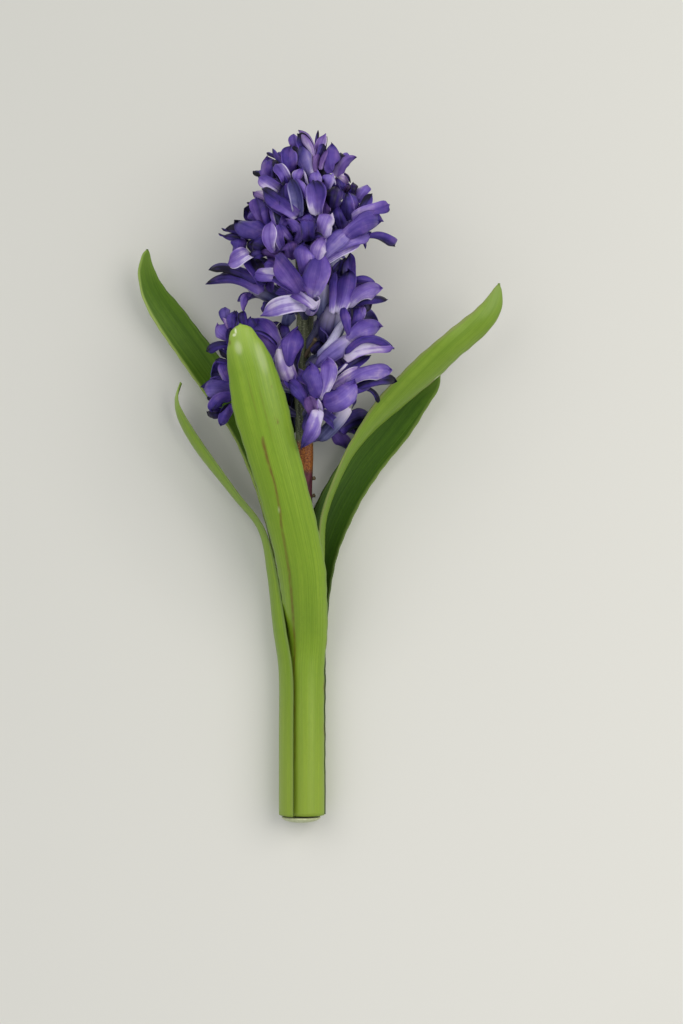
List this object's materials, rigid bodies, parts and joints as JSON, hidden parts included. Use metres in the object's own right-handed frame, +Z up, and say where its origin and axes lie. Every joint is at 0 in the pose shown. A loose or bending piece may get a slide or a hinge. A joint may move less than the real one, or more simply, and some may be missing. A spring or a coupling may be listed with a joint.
{
  "type": "cut hyacinth flower with leaves",
  "caption": "Cut hyacinth lying on its side: a stalk with a dense head of violet star-shaped florets, wrapped and flanked by long strap leaves, on a pale cut base.",
  "frame": {"origin": "middle of the bounding box, on the surface that the flower lies on", "axes": "+Y along the stalk from the cut base to the top of the flower head, +Z up from the surface, +X to the right when looked down on with the head away"},
  "size_m": [0.1445, 0.2796, 0.065],
  "materials": {
    "cut_base": "matte",
    "florets": "satin",
    "leaf_outer": "satin",
    "leaf_inner": "satin"
  },
  "bodies": {
    "root": {"basal_plate": "cut_base", "flower_stalk": "florets", "leaf_front": "leaf_outer", "leaf_left": "leaf_outer", "leaf_back": "leaf_inner", "leaf_right": "leaf_outer", "leaf_right_rear": "leaf_inner"}
  },
  "joints": []
}
